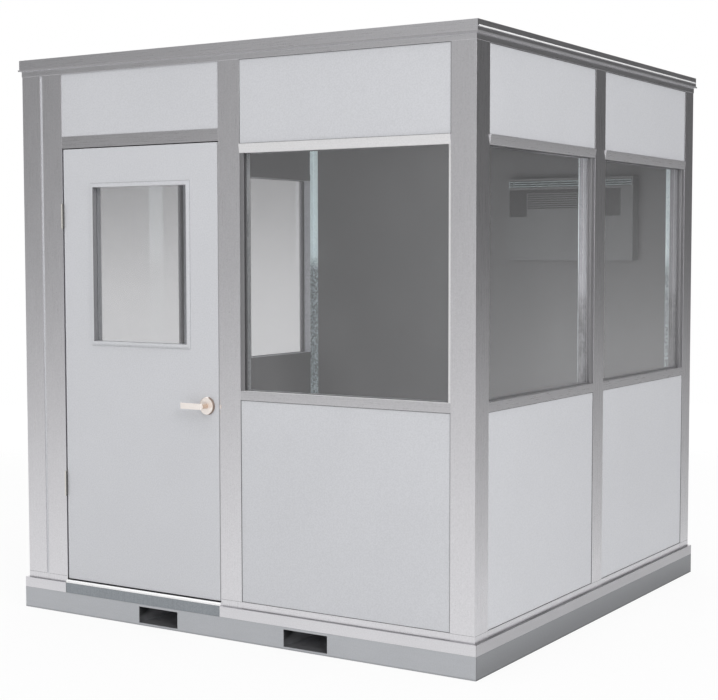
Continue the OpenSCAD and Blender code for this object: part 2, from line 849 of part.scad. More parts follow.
// Outer and inner lever on one spindle through the leaf
module lever_handles() {
    color(nickel) translate([spindle_x, leaf_y, spindle_z]) {
        mirror([0, 1, 0]) lever_bar();
        translate([0, leaf_t, 0]) lever_bar();
        rotate([90, 0, 0]) cylinder(r = neck_r, h = lever_off + lever_t / 2);
        translate([0, leaf_t, 0]) rotate([-90, 0, 0]) cylinder(r = neck_r, h = lever_off + lever_t / 2);
        rotate([-90, 0, 0]) cylinder(r = spindle_r, h = leaf_t);
    }
}

// Plate let into the side of the mullion, with a lip round its front edge
module strike_body() {
    slab(opening_x1, opening_x1 + strike_t, spindle_z - strike_h / 2, spindle_z + strike_h / 2,
        -wall_d / 2, leaf_set + leaf_t);
    slab(opening_x1, opening_x1 + lip_w, spindle_z - lip_h / 2, spindle_z + lip_h / 2,
        -wall_d / 2 - strike_t, strike_t);
}

module strike_plate() {
    color(nickel) strike_body();
}

end_rail(0);  // base_front_rail
end_rail(2);  // base_rear_rail
base_side_rails();
fork_tubes();
base_joists();
floor_deck();
edge_trim();
door_step();
threshold();
front_left_post();
front_right_post();
rear_left_post();
rear_right_post();
front_mullion();
hinge_jamb();
right_mullion();
left_mullion();
rear_mullion();
bottom_rails();
sill_rails();
head_rails();
door_head();
door_stop();
top_track();
corner_filler();
front_lower_panel();
front_upper_panel();
transom_panel();
right_panels();
left_panels();
rear_left_panel();
rear_right_panel();
front_window_frame();
right_window_frames();
left_window_frames();
window_gaskets();
front_glass();
right_glass();
left_glass();
roof_panel();
roof_fascia();
ac_cabinet();
ac_cover();
frame_hinges();
strike_plate();
door_leaf();
door_lite_frame();
door_glass();
door_hinges();
door_roses();
lever_handles();
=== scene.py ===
"""Looks of a modular office: its walls, windows, door, base, roof and air conditioner."""

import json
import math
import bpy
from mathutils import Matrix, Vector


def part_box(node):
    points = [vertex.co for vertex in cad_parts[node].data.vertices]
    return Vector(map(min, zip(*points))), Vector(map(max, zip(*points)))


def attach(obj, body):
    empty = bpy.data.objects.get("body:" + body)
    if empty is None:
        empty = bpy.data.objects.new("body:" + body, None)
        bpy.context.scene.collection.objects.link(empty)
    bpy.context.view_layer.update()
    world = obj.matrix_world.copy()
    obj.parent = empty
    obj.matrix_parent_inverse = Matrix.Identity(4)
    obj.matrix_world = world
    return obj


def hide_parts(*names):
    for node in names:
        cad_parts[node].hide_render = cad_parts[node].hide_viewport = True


bl_info = {
    "name": "Modular Office Looks",
    "version": (1, 0, 0),
    "blender": (4, 5, 0),
    "location": "3D View > Sidebar > Office",
    "description": "Dresses the modular office and sets its studio",
    "category": "Object",
}

import bmesh
import bpy
from bpy.props import FloatProperty, FloatVectorProperty, PointerProperty
from bpy.types import Operator, Panel, PropertyGroup
from mathutils import Matrix, Vector

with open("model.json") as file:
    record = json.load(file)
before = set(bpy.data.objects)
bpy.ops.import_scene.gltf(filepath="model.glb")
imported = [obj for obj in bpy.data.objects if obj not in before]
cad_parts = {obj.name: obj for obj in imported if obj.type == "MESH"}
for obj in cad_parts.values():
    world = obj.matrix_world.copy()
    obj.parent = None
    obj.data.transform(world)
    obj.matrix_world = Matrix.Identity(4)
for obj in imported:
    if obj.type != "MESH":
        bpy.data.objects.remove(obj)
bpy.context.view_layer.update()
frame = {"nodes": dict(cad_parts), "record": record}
NODE_BODIES = {
    node: body for body, nodes in frame["record"]["behaviour"]["bodies"].items() for node in nodes
}

# Half the sides of square plans, in metres: the outer faces of the posts, the middle of a panel,
# a line just inside the outer faces of the panes, and one in the inner skins of the posts
WALL_FACE = -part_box("front_mullion")[0][1]
PANEL_LINE = -sum(corner[1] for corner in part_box("front_lower_panel")) / 2
GLASS_LINE = -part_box("front_glass")[0][1] - 0.0005
ROOM_LINE = -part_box("front_mullion")[1][1] + 0.002

# The angle of a sharp edge, the angle of faces that count as one, and the gap of joined points
SHARP = math.radians(30)
EVEN = math.radians(0.5)
WELD = 1e-5

# Ways that a face can look, and how far its normal leans that way
FRONT = Vector((0.0, -1.0, 0.0))
RIGHT = Vector((1.0, 0.0, 0.0))
UP = Vector((0.0, 0.0, 1.0))
BARELY = 0.1
SLIGHTLY = 0.2
PARTLY = 0.3
MOSTLY = 0.5
SQUARELY = 0.9

# Cells of noise to a metre along X, Y and Z
UPRIGHT_GRAIN = (420.0, 420.0, 5.0)
LEVEL_GRAIN = (5.0, 5.0, 420.0)
EVEN_GRAIN = (300.0, 300.0, 300.0)
ROLLED_GRAIN = (9.0, 9.0, 60.0)
METAL_SPECKLE = (180.0, 180.0, 180.0)
METAL_CLOUD = (5.0, 5.0, 2.0)
ZINC_DUST = (160.0, 160.0, 160.0)
ZINC_STREAK = (110.0, 110.0, 1.5)
TUBE_SCUFF = (60.0, 9.0, 60.0)
SHEET_SPECKLE = (170.0, 170.0, 170.0)
SHEET_PATCH = (3.0, 3.0, 3.0)
GLASS_SMEAR = (4.0, 4.0, 2.5)


def srgb(red, green, blue):
    """A colour of the screen, in 0 to 255, as linear light."""

    def linear(part):
        part /= 255
        return part / 12.92 if part <= 0.04045 else ((part + 0.055) / 1.055) ** 2.4

    return (linear(red), linear(green), linear(blue))


def deeper(colour, share):
    """A colour with a share of its brightness."""
    return [part * share for part in colour]


# Shader expressions


class Flow:
    """A shader socket that takes part in Python expressions."""

    def __init__(self, tree, socket=None):
        self.tree = tree
        self.socket = socket

    def add(self, kind, settings=None, inputs=None, output=0):
        """Adds a node of a kind, its settings first, then values or links for its sockets."""
        node = self.tree.nodes.new(kind)
        for key, value in (settings or {}).items():
            setattr(node, key, value)
        for key, value in (inputs or {}).items():
            self.plug(node.inputs[key], value)
        return Flow(self.tree, node.outputs[output])

    def plug(self, socket, value):
        """Links a flow to a socket, or sets the socket's own value."""
        if isinstance(value, Flow):
            self.tree.links.new(value.socket, socket)
        else:
            socket.default_value = value

    def other(self, output):
        """Another output of the same node."""
        return Flow(self.tree, self.socket.node.outputs[output])

    def maths(self, operation, first, second):
        return self.add("ShaderNodeMath", {"operation": operation}, {0: first, 1: second})

    def __add__(self, other):
        return self.maths("ADD", self, other)

    def __radd__(self, other):
        return self.maths("ADD", other, self)

    def __sub__(self, other):
        return self.maths("SUBTRACT", self, other)

    def __rsub__(self, other):
        return self.maths("SUBTRACT", other, self)

    def __mul__(self, other):
        return self.maths("MULTIPLY", self, other)

    def __rmul__(self, other):
        return self.maths("MULTIPLY", other, self)

    def __pow__(self, other):
        return self.maths("POWER", self, other)

    def __abs__(self):
        return self.maths("ABSOLUTE", self, 0.0)

    def clamp(self):
        return self.add("ShaderNodeClamp", None, {"Value": self})

    def ramp(self, low, high, out_low=0.0, out_high=1.0):
        """This value carried smoothly from one range to another."""
        return self.add(
            "ShaderNodeMapRange",
            {"interpolation_type": "SMOOTHSTEP"},
            {
                "Value": self, "From Min": low, "From Max": high,
                "To Min": out_low, "To Max": out_high,
            },
        )

    def blend(self, first, second):
        """Two colours mixed by this value."""
        return self.add(
            "ShaderNodeMix", {"data_type": "RGBA"}, {0: self, 6: first, 7: second}, output=2
        )

    def along(self, direction):
        """How far this vector points in a direction."""
        return self.add(
            "ShaderNodeVectorMath", {"operation": "DOT_PRODUCT"}, {0: self, 1: direction}, output=1
        )


def rgba(colour, factor=1.0):
    """An opaque colour for a socket, times a factor."""
    return (*(min(part * factor, 1.0) for part in colour), 1.0)


def new_material(name):
    """An empty material, its flow and its surface socket."""
    material = bpy.data.materials.new(name)
    material.use_nodes = True
    tree = material.node_tree
    tree.nodes.clear()
    output = tree.nodes.new("ShaderNodeOutputMaterial")
    return material, Flow(tree), output.inputs["Surface"]


def object_place(flow):
    """Object coordinates, in metres."""
    return flow.add("ShaderNodeTexCoord", output=3)


def object_axes(flow):
    """Distances along X, Y and Z."""
    across = flow.add("ShaderNodeSeparateXYZ", None, {0: object_place(flow)})
    return across, across.other(1), across.other(2)


def object_height(flow):
    """Height above the ground in metres."""
    return object_axes(flow)[2]


def object_noise(flow, cells, detail):
    """Noise on Object coordinates, in cells to a metre along each axis."""
    mapped = flow.add("ShaderNodeMapping", None, {"Vector": object_place(flow), "Scale": cells})
    return flow.add(
        "ShaderNodeTexNoise", None, {"Vector": mapped, "Scale": 1.0, "Detail": detail}
    )


def inside_walls(flow, limit, soft=0.002):
    """One inside a square plan, half its side being the limit, and zero outside it."""
    across, along, _ = object_axes(flow)
    reach = flow.maths("MAXIMUM", abs(across), abs(along))
    return reach.ramp(limit - soft, limit + soft, 1.0, 0.0)


# Finishes


def brushed_metal(name, colour, roughness, grain, metallic=1.0, foot_shade=0.0):
    """Metal with fine lines, a speckle and a faint cloudiness, with a painted contact shadow at the
    ground and painted shade towards it by a foot shade.
    """
    material, flow, surface = new_material(name)
    lines = object_noise(flow, grain, detail=3.0)
    speckle = object_noise(flow, METAL_SPECKLE, detail=1.0)
    cloud = object_noise(flow, METAL_CLOUD, detail=2.0)
    tone = (lines * 0.35 + speckle * 0.5 + cloud * 0.15).clamp()
    clean = tone.ramp(0.3, 0.7).blend(rgba(colour, 0.94), rgba(colour, 1.055))
    height = object_height(flow)
    # Painted shade: a contact shadow within 9 mm of the ground, and shade up to 11 cm by the foot
    # shade share
    contact_shade = height.ramp(0.003, 0.009, 0.5, 0.0)
    painted_foot_shade = (height.ramp(0.0, 0.11, foot_shade, 0.0) + contact_shade).clamp()
    bump = flow.add(
        "ShaderNodeBump", None, {"Strength": 0.05, "Distance": 0.0005, "Height": lines}
    )
    shader = flow.add(
        "ShaderNodeBsdfPrincipled",
        None,
        {
            "Base Color": painted_foot_shade.blend(clean, rgba(colour, 0.4)),
            "Roughness": lines.ramp(0.2, 0.8, roughness - 0.04, roughness + 0.04),
            "Metallic": metallic,
            "Normal": bump,
        },
    )
    flow.plug(surface, shader)
    return material


def galvanised(name, colour, roughness, spangle=70.0, shade_below=0.0, line=1.65, metallic=0.2):
    """Zinc-coated steel with a mottled spangle.

    If shade_below is given, it gets painted shade under a line, in metres above the ground: a deeper
    mottled copy of its colour.
    """
    material, flow, surface = new_material(name)
    flakes = flow.add(
        "ShaderNodeTexVoronoi",
        None,
        {"Vector": object_place(flow), "Scale": spangle, "Randomness": 1.0},
        output=1,
    )
    flake = flow.add("ShaderNodeSeparateColor", None, {0: flakes})
    dust = object_noise(flow, ZINC_DUST, detail=2.0)
    streak = object_noise(flow, ZINC_STREAK, detail=1.0)
    tone = (flake * 0.35 + dust * 0.3 + streak * 0.35).clamp()
    bright = tone.ramp(0.25, 0.75).blend(rgba(colour, 0.88), rgba(colour, 1.06))
    blotch = (flake * 0.6 + dust * 0.4).ramp(0.2, 0.8)
    # Painted shade: a deeper mottled copy of the colour, laid under the line by shade_below
    shaded_copy = blotch.blend(rgba(colour, 0.16), rgba(colour, 0.52))
    shade_under_line = object_height(flow).ramp(line - 0.07, line + 0.07, shade_below, 0.0)
    bump = flow.add("ShaderNodeBump", None, {"Strength": 0.05, "Distance": 0.0003, "Height": dust})
    shader = flow.add(
        "ShaderNodeBsdfPrincipled",
        None,
        {
            "Base Color": shade_under_line.blend(bright, shaded_copy),
            "Roughness": flake.ramp(0.0, 1.0, roughness - 0.04, roughness + 0.04),
            "Metallic": metallic,
            "Normal": bump,
        },
    )
    flow.plug(surface, shader)
    return material


def pocket_steel(name, colour, mouth):
    """Steel of a tube along Y, with painted shade under its top and at its mouths, their distance
    given.
    """
    material, flow, surface = new_material(name)
    scuffs = object_noise(flow, TUBE_SCUFF, detail=3.0)
    steel = scuffs.ramp(0.3, 0.7).blend(rgba(colour, 0.9), rgba(colour, 1.05))
    _, along, height = object_axes(flow)
    painted_shade = abs(along).ramp(mouth - 0.14, mouth, 0.0, 0.9) + height.ramp(0.03, 0.08, 0.0, 0.6)
    shader = flow.add(
        "ShaderNodeBsdfPrincipled",
        None,
        {
            "Base Color": painted_shade.clamp().blend(steel, rgba(colour, 0.08)),
            "Roughness": scuffs.ramp(0.2, 0.8, 0.5, 0.7),
            "Metallic": 0.3,
        },
    )
    flow.plug(surface, shader)
    return material


def grained_sheet(name, colour, roughness, grain, depth, shaded_lining=None):
    """Vinyl, paint or rubber with a fine pebbled skin, its grain and depth in metres.

    A shaded_lining, if given, is a deep grey for its smoother side in the room: painted shade for
    the dim room.
    """
    material, flow, surface = new_material(name)
    cells = 1.0 / grain
    pebble = object_noise(flow, (cells, cells, cells), detail=2.0)
    speckle = object_noise(flow, SHEET_SPECKLE, detail=1.0)
    patch = object_noise(flow, SHEET_PATCH, detail=2.0)
    tone = (pebble * 0.25 + speckle * 0.6 + patch * 0.15).clamp().ramp(0.3, 0.7)
    skin = tone.blend(rgba(colour, 0.94), rgba(colour, 1.05))
    strength = 0.25
    if shaded_lining:
        inside = inside_walls(flow, PANEL_LINE)
        skin = inside.blend(skin, tone.blend(rgba(shaded_lining, 0.94), rgba(shaded_lining, 1.05)))
        strength = inside.ramp(0.0, 1.0, strength, 0.06)
    bump = flow.add(
        "ShaderNodeBump", None, {"Strength": strength, "Distance": depth, "Height": pebble}
    )
    shader = flow.add(
        "ShaderNodeBsdfPrincipled",
        None,
        {
            "Base Color": skin,
            "Roughness": pebble.ramp(0.3, 0.7, roughness - 0.06, roughness + 0.06),
            "Specular IOR Level": 0.35,
            "Normal": bump,
        },
    )
    flow.plug(surface, shader)
    return material


def rubber(name, colour, depth=0.0001, grain=0.002):
    """Dull rubber or sealant."""
    return grained_sheet(name, colour, roughness=0.6, grain=grain, depth=depth)


def window_glass(name, tint, haze, foot=1.1, head=2.2):
    """Clear glass: a tinted film, more of a mirror at a glancing angle, hazier from foot to head."""
    material, flow, surface = new_material(name)
    slant = flow.add("ShaderNodeLayerWeight", None, {"Blend": 0.5}, output=1)
    film = flow.add("ShaderNodeBsdfTransparent", None, {"Color": rgba(tint)})
    smear = object_noise(flow, GLASS_SMEAR, detail=3.0)
    height = object_height(flow)
    mirror = flow.add(
        "ShaderNodeBsdfPrincipled",
        None,
        {
            "Base Color": (0.95, 0.95, 0.96, 1.0),
            "Metallic": height.ramp(foot, head, 0.5, 0.86),
            "Roughness": 0.03,
        },
    )
    dust = smear.ramp(0.4, 0.8, 0.0, haze) + height.ramp(foot, head, 0.0, haze * 1.5)
    share = (slant**5.0 * 1.6 + 0.06 + dust).clamp()
    flow.plug(surface, flow.add("ShaderNodeMixShader", None, {0: share, 1: film, 2: mirror}))
    return material


# Properties


class OfficeFinishes(PropertyGroup):
    """Colours of the finishes."""

    aluminium: FloatVectorProperty(
        name="Aluminium", description="Colour of posts and rails",
        subtype="COLOR", default=(0.7, 0.693, 0.716), min=0.0, max=1.0,
    )
    # Near white: a painted highlight for the bright strips on the inner faces that look to the front
    zinc: FloatVectorProperty(
        name="Zinc", description="Colour of galvanised faces inside",
        subtype="COLOR", default=srgb(235, 250, 255), min=0.0, max=1.0,
    )
    vinyl: FloatVectorProperty(
        name="Vinyl", description="Colour of the wall panels",
        subtype="COLOR", default=srgb(207, 208, 212), min=0.0, max=1.0,
    )
    # A deep grey that stands in for the dim room: painted shade
    shaded_lining: FloatVectorProperty(
        name="Lining", description="Colour of the walls inside the room",
        subtype="COLOR", default=srgb(91, 91, 92), min=0.0, max=1.0,
    )
    door: FloatVectorProperty(
        name="Door", description="Colour of the door leaf",
        subtype="COLOR", default=srgb(208, 209, 213), min=0.0, max=1.0,
    )
    base: FloatVectorProperty(
        name="Base", description="Colour of the steel base",
        subtype="COLOR", default=srgb(185, 187, 191), min=0.0, max=1.0,
    )
    step: FloatVectorProperty(
        name="Step", description="Colour of the strip under the doorway",
        subtype="COLOR", default=srgb(144, 149, 154), min=0.0, max=1.0,
    )
    nickel: FloatVectorProperty(
        name="Nickel", description="Colour of the lever set",
        subtype="COLOR", default=srgb(255, 244, 238), min=0.0, max=1.0,
    )
    casing: FloatVectorProperty(
        name="Casing", description="Colour of the air conditioner",
        subtype="COLOR", default=srgb(92, 93, 94), min=0.0, max=1.0,
    )
    glass: FloatVectorProperty(
        name="Glass", description="Tint of the window glass",
        subtype="COLOR", default=(0.87, 0.87, 0.874), min=0.0, max=1.0,
    )
    seal: FloatProperty(
        name="Seal", description="Thickness of the seals round the panels",
        default=0.0018, min=0.0005, max=0.005, unit="LENGTH",
    )
    edge: FloatProperty(
        name="Edge", description="Rounding of the edges of metal pieces",
        default=0.0008, min=0.0002, max=0.004, unit="LENGTH",
    )


class OfficeStudio(PropertyGroup):
    """Camera and light of the studio."""

    eye: FloatVectorProperty(
        name="Eye", description="Place of the camera",
        default=(4.024, -6.5385, 1.7154), subtype="XYZ", unit="LENGTH",
    )
    yaw: FloatProperty(
        name="Yaw", description="Turn of the camera from looking along +Y",
        default=math.radians(32.207), subtype="ANGLE",
    )
    pitch: FloatProperty(
        name="Pitch", description="Rise of the camera's axis",
        default=math.radians(-3.689), subtype="ANGLE",
    )
    roll: FloatProperty(
        name="Roll", description="Roll of the camera about its axis",
        default=0.0013, subtype="ANGLE",
    )
    lens: FloatProperty(
        name="Lens", description="Focal length of the camera", default=76.14, unit="CAMERA",
    )
    overhead: FloatProperty(
        name="Overhead", description="Brightness of the light overhead",
        default=1.8, min=0.0, max=4.0,
    )
    near_band: FloatProperty(
        name="Near band", description="Brightness of the room before the front wall",
        default=0.62, min=0.0, max=2.0,
    )
    far_band: FloatProperty(
        name="Far band", description="Brightness of the room beside the right wall",
        default=0.12, min=0.0, max=2.0,
    )
    lamp: FloatVectorProperty(
        name="Lamp", description="Place of the broad lamp",
        default=(9.8, -6.0, 6.4), subtype="XYZ", unit="LENGTH",
    )
    lamp_size: FloatProperty(
        name="Lamp size", description="Side of the broad lamp",
        default=6.0, min=0.5, max=10.0, unit="LENGTH",
    )
    lamp_power: FloatProperty(
        name="Lamp power", description="Power of the broad lamp",
        default=586.0, min=0.0, unit="POWER",
    )
    room_lamp: FloatVectorProperty(
        name="Room lamp", description="Place of the weak lamp in the room",
        default=(0.45, -0.75, 1.35), subtype="XYZ", unit="LENGTH",
    )
    room_turn: FloatProperty(
        name="Room turn", description="Turn of the weak lamp from shining along +Y",
        default=math.radians(12), subtype="ANGLE",
    )
    room_power: FloatProperty(
        name="Room glow", description="Power of the weak lamp in the room",
        default=42.5, min=0.0, unit="POWER",
    )


# Making pieces


def add_piece(name, bm, body, material):
    """Turns a bmesh into an object at the origin that rides on a body."""
    mesh = bpy.data.meshes.new(name)
    bm.to_mesh(mesh)
    bm.free()
    mesh.materials.append(material)
    mesh.shade_smooth()
    mesh.set_sharp_from_angle(angle=SHARP)
    piece = bpy.data.objects.new(name, mesh)
    bpy.context.scene.collection.objects.link(piece)
    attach(piece, body)
    return piece


def rounded(node, material, width):
    """Stands for a node with a copy of it that has rounded edges."""
    bm = bmesh.new()
    bm.from_mesh(frame["nodes"][node].data)
    bmesh.ops.remove_doubles(bm, verts=bm.verts, dist=WELD)
    bmesh.ops.dissolve_limit(bm, angle_limit=EVEN, verts=bm.verts, edges=bm.edges)
    corners = [edge for edge in bm.edges if edge.is_manifold and edge.calc_face_angle() > SHARP]
    bmesh.ops.bevel(
        bm, geom=corners, offset=width, offset_type="OFFSET", affect="EDGES", segments=2,
        profile=0.5, material=-1, clamp_overlap=True,
    )
    piece = add_piece(node + "_dressed", bm, NODE_BODIES[node], material)
    even = piece.modifiers.new("even_faces", "WEIGHTED_NORMAL")
    even.keep_sharp = True
    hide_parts(node)
    return piece


def strip(bm, side, span, level, depth):
    """A thin bar on a wall: its span along it, its levels and its depths out from the middle."""
    (start, end), (low, high), (inner, outer) = span, level, depth
    size = Matrix.Diagonal((end - start, outer - inner, high - low, 1.0))
    middle = Matrix.Translation(((start + end) / 2, -(inner + outer) / 2, (low + high) / 2))
    turn = Matrix.Rotation(math.radians(90) * side, 4, "Z")
    bmesh.ops.create_cube(bm, size=1.0, matrix=turn @ middle @ size)


def paint(node, material):
    """Gives a node's own object a finish."""
    materials = frame["nodes"][node].data.materials
    materials.clear()
    materials.append(material)


def refinish(piece, material, *tests):
    """Gives another finish to the faces of a piece that pass every test."""
    piece.data.materials.append(material)
    last = len(piece.data.materials) - 1
    for face in piece.data.polygons:
        if all(test(face) for test in tests):
            face.material_index = last


def within(limit):
    """A test for faces inside a square plan, half its side being the limit."""
    return lambda face: max(abs(face.center.x), abs(face.center.y)) < limit


def looking(way, least):
    """A test for faces that look a way, their normal leaning that way by a least share."""
    return lambda face: face.normal.dot(way) > least


in_room = within(ROOM_LINE)
behind_glass = within(GLASS_LINE)
to_front = looking(FRONT, MOSTLY)
to_right = looking(RIGHT, MOSTLY)


# Operators


class OFFICE_OT_frame(Operator):
    """Finish the posts, rails and tracks"""

    bl_idname = "office.frame"
    bl_label = "Frame"

    posts = (
        "front_left_post", "front_right_post", "rear_left_post", "rear_right_post",
        "front_mullion", "hinge_jamb", "right_mullion", "left_mullion", "rear_mullion",
    )
    rails = ("bottom_rails", "sill_rails", "head_rails", "door_head", "top_track")

    def execute(self, context):
        finish = context.scene.office_finishes
        metal = finish.aluminium
        upright = brushed_metal("post_aluminium", metal, 0.3, UPRIGHT_GRAIN)
        level = brushed_metal("rail_aluminium", metal, 0.3, LEVEL_GRAIN)
        # Painted highlight: inner faces that look to the front, and those of the rear-left post that
        # look right, get a near-white zinc for the bright strips they show, with painted shade under
        # a line
        zinc = galvanised("inner_zinc_painted_highlight", finish.zinc, 0.34, spangle=130.0, shade_below=1.0, metallic=0.1)
        grey_zinc = galvanised("mullion_zinc", srgb(170, 171, 177), 0.45, metallic=0.1)
        # Painted shade: faces in the room, and the door stop, get a deep grey for the dim room
        shaded_lining = grained_sheet("frame_shaded_lining", finish.shaded_lining, 0.45, 0.0016, 0.0002)
        for node in self.posts:
            post = rounded(node, upright, finish.edge)
            refinish(post, shaded_lining, in_room)
            refinish(post, zinc, in_room, to_front)
            if node == "rear_left_post":
                refinish(post, zinc, in_room, to_right)
            if node == "left_mullion":
                refinish(
                    post, grey_zinc, behind_glass, lambda face: to_right(face) or to_front(face)
                )
        # Painted light and shade: the fronts of the head rails get a lighter copy of the aluminium,
        # those of the sills and the door head a deeper one
        bright = brushed_metal("head_aluminium_painted_light", (0.84, 0.835, 0.845), 0.34, LEVEL_GRAIN)
        shaded = brushed_metal("sill_aluminium_painted_shade", deeper(metal, 0.89), 0.3, LEVEL_GRAIN)
        front_faces = {"head_rails": bright, "sill_rails": shaded, "door_head": shaded}
        for node in self.rails:
            rail = rounded(node, level, finish.edge)
            if node in front_faces:
                refinish(rail, front_faces[node], to_front)
            refinish(rail, shaded_lining, in_room)
        paint("door_stop", shaded_lining)
        return {"FINISHED"}


class OFFICE_OT_panels(Operator):
    """Finish the wall panels"""

    bl_idname = "office.panels"
    bl_label = "Panels"

    panels = (
        "corner_filler", "front_lower_panel", "front_upper_panel", "transom_panel",
        "right_panels", "left_panels", "rear_left_panel", "rear_right_panel",
    )

    def execute(self, context):
        finish = context.scene.office_finishes
        # Painted shade: the panels' inner side gets the deep grey of the room
        vinyl = grained_sheet(
            "panel_vinyl", finish.vinyl, 0.5, 0.0016, 0.0004, shaded_lining=finish.shaded_lining
        )
        for node in self.panels:
            paint(node, vinyl)
        return {"FINISHED"}


def window_bays():
    """Wall number and span of each bay with a window: 0 front, 1 right, 3 left."""
    posts = [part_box(node) for node in ("front_right_post", "right_mullion", "rear_right_post")]
    half = [(near[1][1], far[0][1]) for near, far in zip(posts, posts[1:])]
    bays = [(0, (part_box("front_mullion")[1][0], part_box("front_right_post")[0][0]))]
    bays += [(1, span) for span in half]
    bays += [(3, (-end, -start)) for start, end in half]
    return bays


def post_faces():
    """Wall number and span of the outer face of each post: 0 front, 1 right, 2 rear, 3 left."""
    walls = (
        (0, 0, 1, ("front_left_post", "hinge_jamb", "front_mullion", "front_right_post")),
        (1, 1, 1, ("front_right_post", "right_mullion", "rear_right_post")),
        (2, 0, -1, ("rear_left_post", "rear_mullion", "rear_right_post")),
        (3, 1, -1, ("front_left_post", "left_mullion", "rear_left_post")),
    )
    for side, axis, sign, nodes in walls:
        for node in nodes:
            ends = [sign * corner[axis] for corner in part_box(node)]
            yield side, min(ends), max(ends)


class OFFICE_OT_seals(Operator):
    """Lay the seals of the panels and the door's edge, and the joints at the feet of the posts"""

    bl_idname = "office.seals"
    bl_label = "Seals"

    def execute(self, context):
        finish = context.scene.office_finishes
        foot, skirt = (corner[2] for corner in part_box("bottom_rails"))
        self.seal_panels(finish.seal, foot, skirt)
        self.mark_joints(finish.seal, skirt)
        self.fill_foot(finish, foot, skirt)
        self.seal_door_edge(finish.seal)
        return {"FINISHED"}

    def seal_panels(self, bead, foot, skirt):
        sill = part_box("sill_rails")[0][2]
        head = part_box("head_rails")[1][2]
        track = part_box("top_track")[0][2]
        panel = -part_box("front_lower_panel")[0][1]
        proud = (panel, panel + bead)
        foot_level = (foot, foot + bead * 0.4)
        foot_proud = (WALL_FACE, WALL_FACE + bead * 0.6)
        bm = bmesh.new()
        for side, (start, end) in window_bays():
            strip(bm, side, (start, end), foot_level, foot_proud)
            for low in (skirt, sill - bead, head, track - bead):
                strip(bm, side, (start, end), (low, low + bead), proud)
            for level in ((skirt + bead, sill - bead), (head + bead, track - bead)):
                strip(bm, side, (start, start + bead), level, proud)
                strip(bm, side, (end - bead, end), level, proud)
        sealant = rubber("seal_rubber", (0.1, 0.1, 0.105), depth=0.0002)
        add_piece("panel_seals", bm, "office", sealant)

    def mark_joints(self, bead, skirt):
        level = (skirt - bead * 0.6, skirt)
        proud = (WALL_FACE, WALL_FACE + bead * 0.15)
        bm = bmesh.new()
        for side, start, end in post_faces():
            strip(bm, side, (start + bead, end - bead), level, proud)
        joint = rubber("joint_grey", (0.16, 0.16, 0.165))
        add_piece("rail_joints", bm, "office", joint)

    def fill_foot(self, finish, foot, skirt):
        gap = (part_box("front_left_post")[1][0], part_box("hinge_jamb")[0][0])
        depth = (-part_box("corner_filler")[0][1], WALL_FACE - finish.seal * 0.1)
        bm = bmesh.new()
        strip(bm, 0, gap, (foot, skirt), depth)
        metal = brushed_metal("foot_aluminium", finish.aluminium, 0.3, UPRIGHT_GRAIN)
        add_piece("filler_foot", bm, "office", metal)

    def seal_door_edge(self, bead):
        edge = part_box("front_mullion")[0][0]
        (_, _, low), (_, _, high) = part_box("door_leaf")
        width, reach = 2.8 * bead, 0.02
        bm = bmesh.new()
        strip(bm, 0, (edge - width, edge), (low, high), (WALL_FACE - reach, WALL_FACE - bead))
        pale = rubber("jamb_rubber", (0.42, 0.42, 0.43), depth=0.0002)
        add_piece("door_edge_seal", bm, "office", pale)


class OFFICE_OT_windows(Operator):
    """Finish the window frames, gaskets and glass"""

    bl_idname = "office.windows"
    bl_label = "Windows"

    def execute(self, context):
        finish = context.scene.office_finishes
        metal = finish.aluminium
        # Painted light and shade: each wall's frames get their own tone for how light falls there,
        # deeper on faces that look right and on the side walls; the reveals' zinc is near white at
        # the front as a painted highlight, with painted shade under a line at the front and right
        bead = brushed_metal("bead_aluminium", (0.9, 0.9, 0.91), 0.4, UPRIGHT_GRAIN, metallic=0.1)
        shade = brushed_metal("shade_aluminium", deeper(metal, 0.37), 0.4, UPRIGHT_GRAIN)
        shaded_copy = brushed_metal("side_bead_shaded_aluminium", deeper(metal, 0.62), 0.4, UPRIGHT_GRAIN)
        front_zinc = galvanised(
            "front_reveal_zinc", srgb(248, 252, 255), 0.5, spangle=90.0, shade_below=0.4, line=1.92
        )
        right_zinc = galvanised(
            "right_reveal_zinc", srgb(140, 140, 144), 0.5, shade_below=1.0, line=1.5
        )
        left_zinc = galvanised("left_reveal_zinc", srgb(176, 178, 183), 0.5, spangle=90.0)
        window = rounded("front_window_frame", bead, finish.edge)
        refinish(window, shade, looking(RIGHT, SLIGHTLY))
        refinish(window, front_zinc, behind_glass)
        for node, zinc in (("right_window_frames", right_zinc), ("left_window_frames", left_zinc)):
            refinish(rounded(node, shaded_copy, finish.edge), zinc, behind_glass)
        gasket = rubber("gasket_rubber", (0.14, 0.14, 0.145), grain=0.001)
        paint("window_gaskets", gasket)
        glass = window_glass("window_glass", finish.glass, haze=0.02)
        for node in ("front_glass", "right_glass", "left_glass", "door_glass"):
            paint(node, glass)
        return {"FINISHED"}


